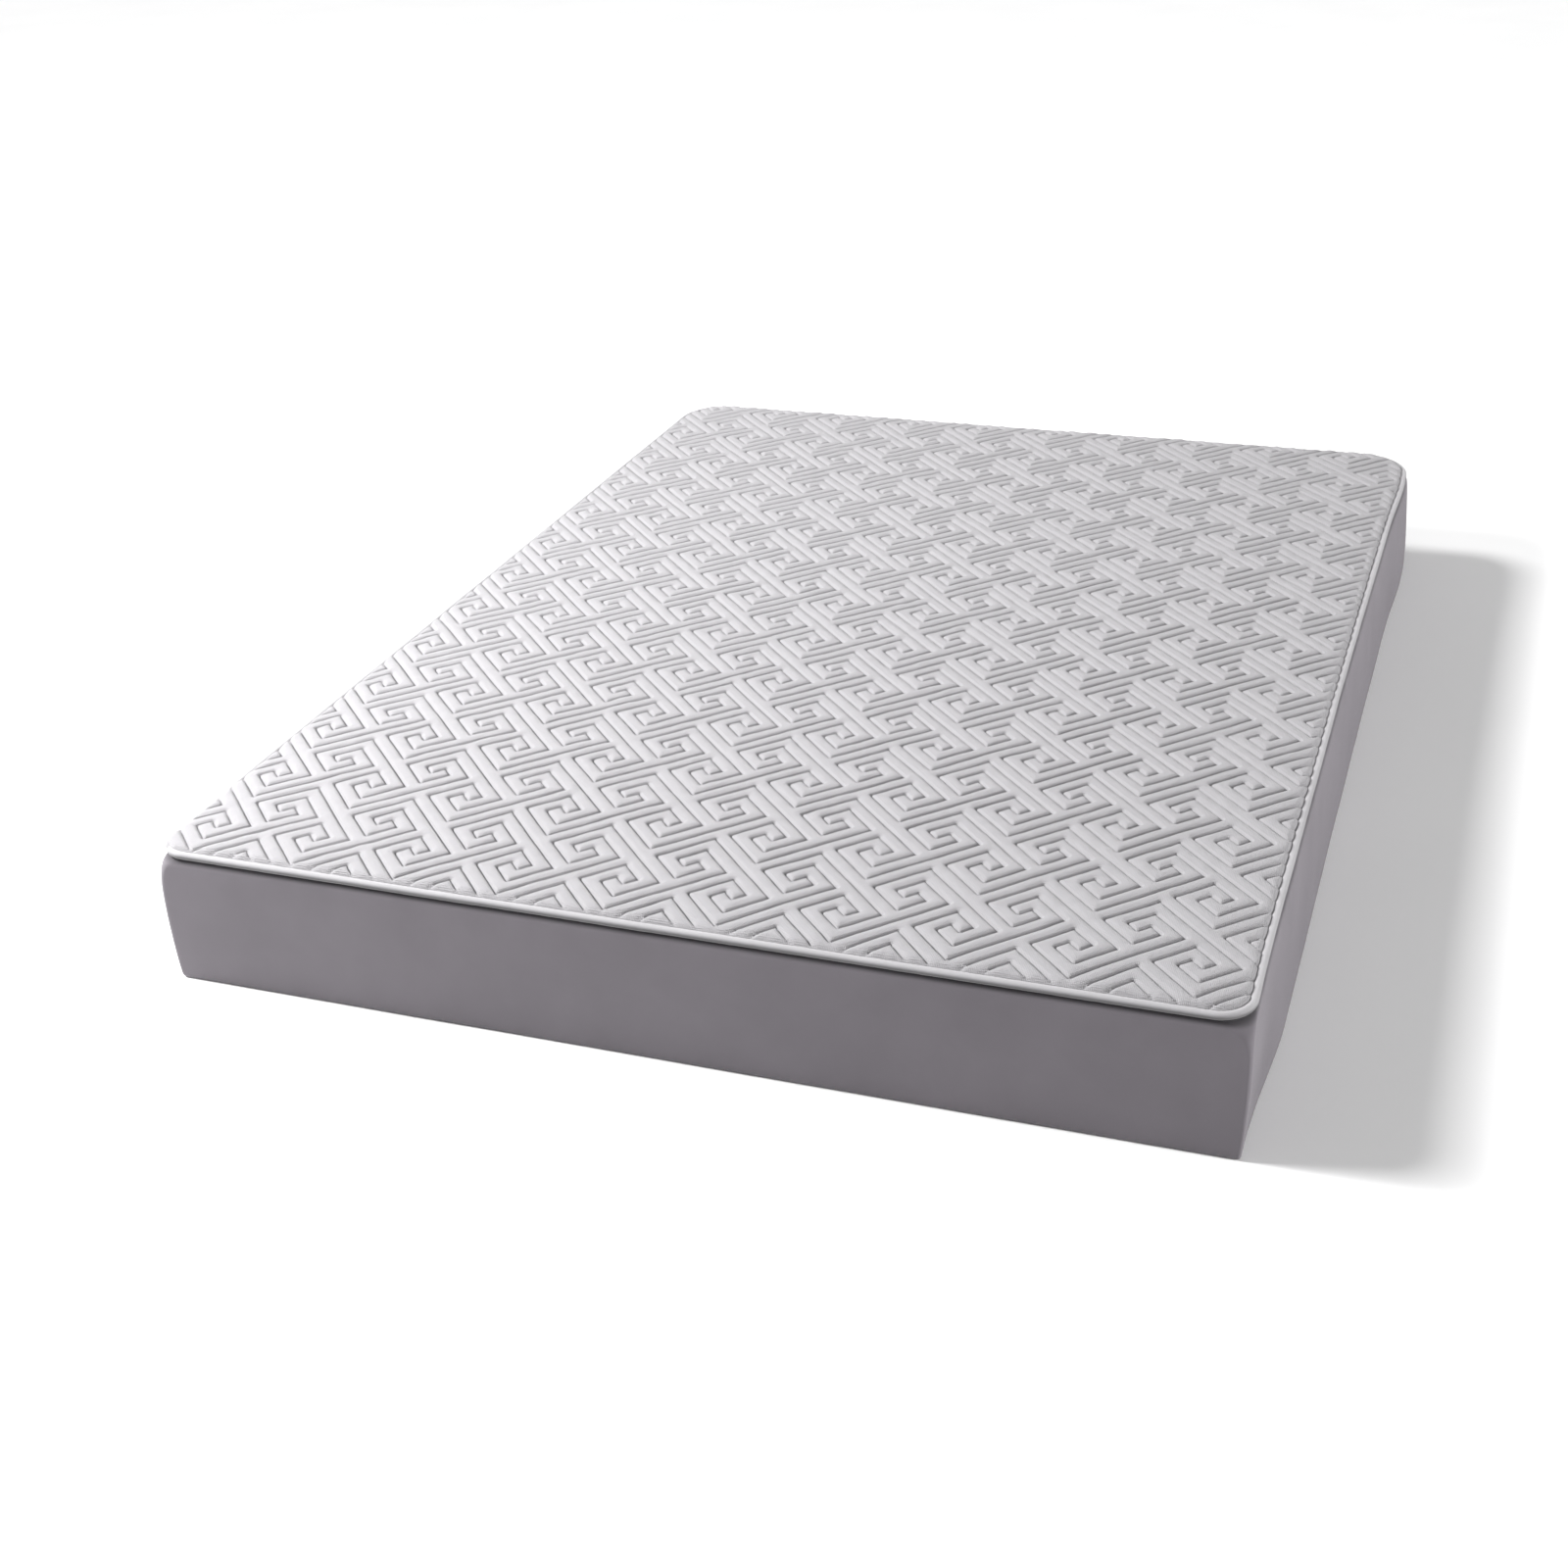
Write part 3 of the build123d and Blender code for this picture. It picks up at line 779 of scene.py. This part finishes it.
def border_row(columns, z, depth=0.0):
    """The border's points at height z, depth inside its outer face. The cloth is a little
    wavy, dips at the head end's upright seams and lies flat beside the zip."""
    proud, radius = border_proud(columns, z) - depth, corner_radius(columns, z, depth)
    x, y = columns.at(proud, radius)
    out_x, out_y = columns.outwards()
    run = columns.run
    free = math.sin(math.pi * min(1, max(0, z / SEAM_Z))) ** 0.6
    near_seam = math.exp(-(SEAM_Z - z) / (22 * MM))
    loose = 0.0
    for size, wave_depth, seed in BORDER_WAVES:
        loose += noise(run, z, size, seed) * wave_depth * free
    loose += noise(run, z, GATHER_SIZE, 13) * GATHER_DEPTH * near_seam
    head = (y > 0) & (out_y > 0.99)
    from_seam = np.abs(np.abs(x) - CORE_X)
    loose -= SEAM_DIP * np.exp(-from_seam / (2.2 * MM)) * head
    beside_zip = smooth((CORE_X + 30 * MM - np.abs(x)) / (30 * MM)) * head
    calm = beside_zip * math.exp(-((z - ZIP_Z) / (24 * MM)) ** 2)
    loose = loose * (1 - calm) - border_proud(columns, z) * calm
    return level(x + loose * out_x, y + loose * out_y, z)


def make_border(strip, panel):
    """The border strip and the head end's two panels."""
    whole = crowded(BORDER_LOW, BORDER_HIGH, 36)
    upper = crowded(WINDOW_HIGH, BORDER_HIGH, 28)
    lower = crowded(BORDER_LOW, WINDOW_LOW, 14)
    jobs = (
        ("border_band", strip, whole, "border_strip"),
        ("head_panel_upper", panel, upper, "end_panel_upper"),
        ("head_panel_lower", panel, lower, "end_panel_lower"),
    )
    for name, columns, heights, node in jobs:
        points = np.concatenate([border_row(columns, z) for z in heights])
        faces = grid_faces(len(heights), len(columns.run))
        piece = add_piece(name, points, faces, "border", replaces=[node])
        thicken(piece, BORDER_CLOTH)


# ---- Piping ----
def piping_section():
    """The tape's cross-section: up from one edge, round the cord and down to the other, as
    distances outwards and upwards from the cord's middle."""
    turns = np.radians(np.linspace(-75, 275, 18))
    edge = FLANGE_Z - PIPING_Z
    points = [(-0.38 * PIPING_R, edge), (-0.38 * PIPING_R, -1.2 * PIPING_R)]
    points += [(PIPING_R * math.cos(a), PIPING_R * math.sin(a)) for a in turns]
    points += [(-0.50 * PIPING_R, -1.2 * PIPING_R), (-0.50 * PIPING_R, edge)]
    return points


def piping_row(columns, out, up, swell=1.0):
    """Points along the piping at one place of its cross-section."""
    run = columns.run
    free = 1.0 if up > -PIPING_R * 1.1 else 0.0
    grow = 1 + (noise(run, up * 3, 0.012, 21) * 0.025 + noise(run, up, 0.05, 22) * 0.02) * free
    shift = noise(run, 0, 0.13, 23) * 0.35 * MM * free
    lift = noise(run, 5, 0.17, 24) * 0.35 * MM * free
    inset = PIPING_R - out * swell
    x, y = columns.at(-inset, columns.seam_r - inset)
    out_x, out_y = columns.outwards()
    extra = out * swell * (grow - 1) + shift
    z = PIPING_Z + up * swell * grow + lift
    return np.stack([x + extra * out_x, y + extra * out_y, z], -1)


def make_piping(ring):
    """The piping's tape and the cord inside it."""
    section = piping_section()
    points = np.concatenate([piping_row(ring, out, up) for out, up in section])
    faces = grid_faces(len(section), len(ring.run), closed=True)
    tape = add_piece("piping", points, faces, "piping",
                     replaces=["piping_tape"])
    circle = np.linspace(0, 2 * np.pi, 11)[:-1]
    rows = [piping_row(ring, CORD_R * math.cos(a), CORD_R * math.sin(a)) for a in circle]
    points = np.concatenate(rows)
    count = len(ring.run)
    faces = grid_faces(len(circle), count, closed=True)
    seam = np.arange(count)
    following = np.roll(seam, -1)
    last = (len(circle) - 1) * count
    faces += np.stack([last + seam, last + following, following, seam], -1).tolist()
    filler = add_piece("piping_filler", points, faces, "wadding",
                       replaces=["piping_cord"])


# ---- Underside ----
DOT_PITCH = 24 * MM
DOT_R = 2.6 * MM
DOT_HEIGHT = 0.6 * MM
DOT_SIDES = 8
DOT_MARGIN = 30 * MM
PANEL_Z = 0.7 * MM
PANEL_INSET = 0.4 * MM
PANEL_CLOTH = 0.8 * MM


def make_bottom(ring):
    """The bottom panel and the rubber dots that keep the mattress from sliding."""
    inset = PANEL_INSET - border_proud(ring, PANEL_Z)
    x, y = ring.at(-inset, corner_radius(ring, 0))
    points = level(x, y, PANEL_Z)
    faces = [list(range(len(x)))[::-1]]
    panel = add_piece("bottom_cover", points, faces, "grip",
                      replaces=["bottom_panel"])
    thicken(panel, PANEL_CLOTH)
    make_dots()


def make_dots():
    """Low rubber domes in staggered rows, facing down."""
    row_pitch = DOT_PITCH * math.sqrt(3) / 2
    rows = int((HALF_Y - DOT_MARGIN) / row_pitch)
    across = int((HALF_X - DOT_MARGIN) / DOT_PITCH)
    spots = np.array([
        ((c + (r % 2) / 2) * DOT_PITCH, r * row_pitch)
        for r in range(-rows, rows + 1) for c in range(-across, across)
    ])
    turns = 2 * np.pi * np.arange(DOT_SIDES) / DOT_SIDES
    rings = ((1.0, 0.0), (0.85, 0.65), (0.45, 1.0))
    shape = [
        (DOT_R * r * math.cos(a), DOT_R * r * math.sin(a), -DOT_HEIGHT * h)
        for r, h in rings for a in turns
    ]
    points = np.concatenate([spots, np.full((len(spots), 1), PANEL_Z)], 1)[:, None] + shape
    template = [tuple(face[::-1]) for face in grid_faces(len(rings), DOT_SIDES, closed=True)]
    cap = tuple(range(2 * DOT_SIDES, 3 * DOT_SIDES))[::-1]
    faces = repeat_faces([*template, cap], len(spots), len(shape))
    add_piece("grip_dots", points.reshape(-1, 3), faces, "dots")


# ---- Inside ----
LAYER_GAP = 0.1 * MM  # from each layer to the height where it meets the next
BACKING_CLOTH = 0.3 * MM
PAD_LOW = 2.5 * MM
PAD_HIGH = SEAM_Z - 1.0 * MM
PAD_CLEAR = 0.2 * MM  # between the border's cloth and the foam behind it
PAD_THICKNESS = 2.4 * MM
ZIP_ROOM = 2 * MM  # between that foam and the zip's tapes


def inner_row(ring, z, depth):
    """Points at height z, depth inside the cover: they lean out with its long sides, and
    draw in where its edges do."""
    out = np.minimum(side_spread(ring, z), border_proud(ring, z))
    x, y = ring.at(out - depth, corner_radius(ring, z, depth))
    return level(x, y, z)


def soft_block(name, ring, z0, z1, depth, round_z, material, node):
    """A block of foam or wadding that fills the cover between two heights."""
    heights = crowded(z0, z1, 7)
    rows = []
    for z in heights:
        ends = min(z - z0, z1 - z)
        tuck = round_z * quarter_round(ends / round_z)
        rows.append(inner_row(ring, z, depth + tuck))
    count = len(ring.run)
    faces = grid_faces(len(heights), count, closed=True) + end_caps(len(heights), count)
    piece = add_piece(name, np.concatenate(rows), faces, material, replaces=[node])


def make_foams(ring):
    """The core's three layers of foam."""
    jobs = (
        ("foam_base", "base_foam", "support", "support_foam", 0.9),
        ("foam_transition", "transition_foam", "soft", "soft_foam", 0.8),
        ("foam_memory", "memory_foam", "memory", "memory_foam", 0.7),
    )
    for name, node, material, slot, fill in jobs:
        low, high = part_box(node)
        soft_block(name, ring, low.z + LAYER_GAP, high.z - LAYER_GAP, FOAM_DEPTH + 0.4 * MM,
                   2 * MM, material, node)


def make_quilt_layers(ring):
    """The wadding and the backing under the quilted face."""
    soft_block("wadding_sheet", ring, WADDING_Z + LAYER_GAP, PIPING_Z - 0.3 * MM,
               WADDING_DEPTH, 3 * MM, "wadding", "quilt_wadding")
    inset = BACKING_DEPTH
    x, y = ring.at(-inset, ring.seam_r - inset)
    points = level(x, y, WADDING_Z - LAYER_GAP)
    piece = add_piece("backing_sheet", points, [list(range(len(x)))], "backing",
                      replaces=["quilt_backing"])
    thicken(piece, BACKING_CLOTH)


def make_sleeve(columns, panel_start):
    """The knitted sleeve round the foam, whose head end is left open like a pillowcase."""
    low, high = CORE_LOW_Z - 0.5 * MM, CORE_TOP_Z + 0.4 * MM
    ring = columns.ring()
    heights = crowded(low, high, 9)
    depth = SLEEVE_DEPTH + 0.2 * MM
    rows = [inner_row(ring, z, depth) for z in heights]
    count = len(ring.run)
    sides = [f for f in grid_faces(len(heights), count, closed=True)
             if f[0] % count < columns.marks[panel_start]]
    faces = sides + end_caps(len(heights), count)
    piece = add_piece("sleeve", np.concatenate(rows), faces, "sleeve",
                      replaces=["inner_sleeve"])


def padding_shell(columns, heights):
    """A layer behind the border: up its outer face and down its inner face."""
    front = BORDER_CLOTH + PAD_CLEAR
    back = front + PAD_THICKNESS
    outer = [border_row(columns, z, front) for z in heights]
    inner = [border_row(columns, z, back) for z in heights[::-1]]
    points = np.concatenate([*outer, *inner, outer[0]])
    return points, grid_faces(len(outer) + len(inner) + 1, len(columns.run))


def make_padding(strip, panel):
    """The thin foam behind the border, cut away round the zip."""
    jobs = (
        (strip, crowded(PAD_LOW, PAD_HIGH, 12)),
        (panel, crowded(TAPE_HIGH + ZIP_ROOM, PAD_HIGH, 10)),
        (panel, crowded(PAD_LOW, TAPE_LOW - ZIP_ROOM, 5)),
    )
    points, faces, first = [], [], 0
    for columns, heights in jobs:
        more, over = padding_shell(columns, heights)
        points.append(more)
        faces += [[v + first for v in face] for face in over]
        first += len(more)
    piece = add_piece("border_pad", np.concatenate(points), faces, "wadding",
                      replaces=["border_padding"])


# ---- Zip ----
COIL_PITCH = 2.1 * MM
COIL_WIRE_R = 0.33 * MM
COIL_LOOP = 9  # points along one loop of wire
COIL_SIDES = 5  # points round the wire
COIL_PARTED = 1.0 * MM  # how far the loops keep from the meeting line at the slider's post
POST_REACH = 14 * MM  # how far from each end of the coil the slider's post can stand
TOPSTITCH_PITCH = 3.2 * MM
TOPSTITCH_R = 0.35 * MM
TOPSTITCH_EDGE = 2.2 * MM  # from the edge of the border's cloth beside the zip
TOPSTITCH_PROUD = 0.15 * MM
TOPSTITCH_END = 12 * MM


def coil(side):
    """One half of the zip's coil: loops of nylon wire that reach over the meeting line."""
    low, high = TEETH_LOW.x, TEETH_HIGH.x
    loops = int((high - low) / COIL_PITCH) - 2
    steps = np.arange(loops * COIL_LOOP + 1)
    turn = 2 * np.pi * steps / COIL_LOOP
    reach = (TEETH_HIGH.z - ZIP_Z) / 2 - COIL_WIRE_R + 0.2 * MM
    depth = (TEETH_HIGH.y - TEETH_LOW.y) / 2 - COIL_WIRE_R
    far = 1.98 * reach - 0.1 * MM
    offset = COIL_PITCH / 2 * (1 + (side > 0))
    x = low + offset + COIL_PITCH * steps / COIL_LOOP
    y = (TEETH_HIGH.y + TEETH_LOW.y) / 2 + depth * np.sin(turn)
    from_end = np.minimum(x - low, high - x)
    near = 0.02 * reach - 0.1 * MM
    near += (COIL_PARTED - near) * (1 - smooth((from_end - POST_REACH) / (5 * MM)))
    z = ZIP_Z + side * (near + (far - near) * (1 - np.cos(turn)) / 2)
    line = np.stack([x, y, z], -1)
    along = np.gradient(line, axis=0)
    along /= np.linalg.norm(along, axis=1, keepdims=True)
    outward = np.stack([0 * x, np.sin(turn), -side * np.cos(turn)], -1)
    second = np.cross(along, outward)
    second /= np.linalg.norm(second, axis=1, keepdims=True)
    first = np.cross(second, along)
    rows = []
    for a in 2 * np.pi * np.arange(COIL_SIDES) / COIL_SIDES:
        rows.append(line + COIL_WIRE_R * (math.cos(a) * first + math.sin(a) * second))
    points = np.stack(rows, 1).reshape(-1, 3)
    return points, grid_faces(len(line), COIL_SIDES, closed=True)


def make_topstitch():
    """A row of stitches along the border's cloth above the zip, and one below."""
    reach = PANEL_HALF - TOPSTITCH_END
    x = np.arange(-reach, reach, TOPSTITCH_PITCH)
    y = HALF_Y + TOPSTITCH_PROUD
    rows = (WINDOW_LOW - TOPSTITCH_EDGE, WINDOW_HIGH + TOPSTITCH_EDGE)
    starts = np.array([(a, y, z) for z in rows for a in x])
    ends = starts + [0.8 * TOPSTITCH_PITCH, 0, 0]
    ups = np.tile([0.0, 1.0, 0.0], (len(starts), 1))
    sew("zip_topstitch", starts, ends, ups, TOPSTITCH_R, "thread", "border_knit",
        [(0.15, 0.75), (0.5, 1.0), (0.85, 0.75)], 6)


def make_zip():
    """The zip's coil and stitches, and the materials of the parts that show as they are."""
    for side, word in ((1, "upper"), (-1, "lower")):
        points, faces = coil(side)
        add_piece(f"zip_coil_{word}", points, faces, "teeth",
                  replaces=[f"zip_teeth_{word}"])
    make_topstitch()
    for node in ("zip_tape_upper", "zip_tape_lower"):
        use_material(node, "tape")
    for node in ("zip_top_stops", "zip_bottom_stop", "slider_body", "pull_tab"):
        use_material(node, "metal")


def use_material(node, material):
    """Gives a CAD node its finished material."""
    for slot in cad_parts[node].material_slots:
        slot.material = LOOKS[material].material


# ---- Studio ----
CAMERA_PLACE = (0.9882, -3.0636, 1.6216)
CAMERA_TURN = (19.1055, -25.578, -1.984)  # yaw, pitch above level and roll, in degrees
CAMERA_LENS, CAMERA_SENSOR = 48.43, 36.0
CAMERA_SHIFT = (-0.0425, -0.063)
FLOOR_HALF = 40.0
WORLD_LIGHT = 0.37


def make_camera():
    data = bpy.data.cameras.new("camera")
    data.lens, data.sensor_width = CAMERA_LENS, CAMERA_SENSOR
    data.shift_x, data.shift_y = CAMERA_SHIFT
    camera = new_object("camera", data)
    yaw, pitch, roll = (math.radians(a) for a in CAMERA_TURN)
    camera.matrix_world = (
        Matrix.Translation(CAMERA_PLACE)
        @ Matrix.Rotation(yaw, 4, "Z")
        @ Matrix.Rotation(math.pi / 2 + pitch, 4, "X")
        @ Matrix.Rotation(roll, 4, "Z")
    )
    bpy.context.scene.camera = camera


def make_floor():
    """A plain white floor, barely uneven in tone."""
    look = Look("studio_floor")
    patches = look.texture("TexNoise", "Fac", Scale=2.0, Detail=2.0)
    look.colour(patches, (0.93, 0.93, 0.93), (0.95, 0.95, 0.95))
    look.set_up(look.shader, Roughness=0.9, Specular_IOR_Level=0.1)
    mesh = bpy.data.meshes.new("floor")
    half = FLOOR_HALF
    corners = [(-half, -half, 0), (half, -half, 0), (half, half, 0), (-half, half, 0)]
    mesh.from_pydata(corners, [], [(0, 1, 2, 3)])
    mesh.materials.append(look.material)
    floor = new_object("floor", mesh)


def add_sun(name, strength, angle, azimuth, elevation):
    """A soft distant light: azimuth is measured from +X towards +Y, elevation from level."""
    data = bpy.data.lights.new(name, "SUN")
    data.energy, data.angle = strength, math.radians(angle)
    light = new_object(name, data)
    a, e = math.radians(azimuth), math.radians(elevation)
    towards = Vector((math.cos(a) * math.cos(e), math.sin(a) * math.cos(e), math.sin(e)))
    light.rotation_mode = "QUATERNION"
    light.rotation_quaternion = towards.to_track_quat("Z", "Y")


def add_globe(name, power, size, place):
    """A round soft light that shines every way and weakens with distance."""
    data = bpy.data.lights.new(name, "POINT")
    data.energy, data.shadow_soft_size = power, size
    light = new_object(name, data)
    light.location = place
    light.visible_camera = False


def make_lights():
    """The key light and its fill from the left, and a low fill from the right."""
    add_globe("key", 670, 0.5, (-2.4, -0.85, 2.1))
    add_sun("left_fill", 2.3, 12, 187, 40)
    add_sun("right_fill", 4.1, 30, 5, 8)
    world = bpy.data.worlds.new("studio")
    world.use_nodes = True
    background = world.node_tree.nodes["Background"]
    background.inputs["Color"].default_value = (1, 1, 1, 1)
    background.inputs["Strength"].default_value = WORLD_LIGHT
    bpy.context.scene.world = world
    bpy.context.scene.view_settings.view_transform = "Standard"


# ---- Everything ----
def make_all():
    make_camera()
    make_floor()
    make_lights()
    keys, panel_start = outline_keys()
    fine = Columns(keys, 3 * MM)
    wide = Columns(keys, 8 * MM)
    coarse = Columns(keys, 25 * MM)
    strip = wide.between(0, panel_start)
    panel = wide.between(panel_start, len(keys) - 1)
    make_quilt(fine.ring())
    make_quilt_thread()
    make_piping(fine.ring())
    make_border(strip, panel)
    make_padding(strip, panel)
    make_bottom(wide.ring())
    make_foams(wide.ring())
    make_quilt_layers(wide.ring())
    make_sleeve(coarse, panel_start)
    make_zip()


make_all()
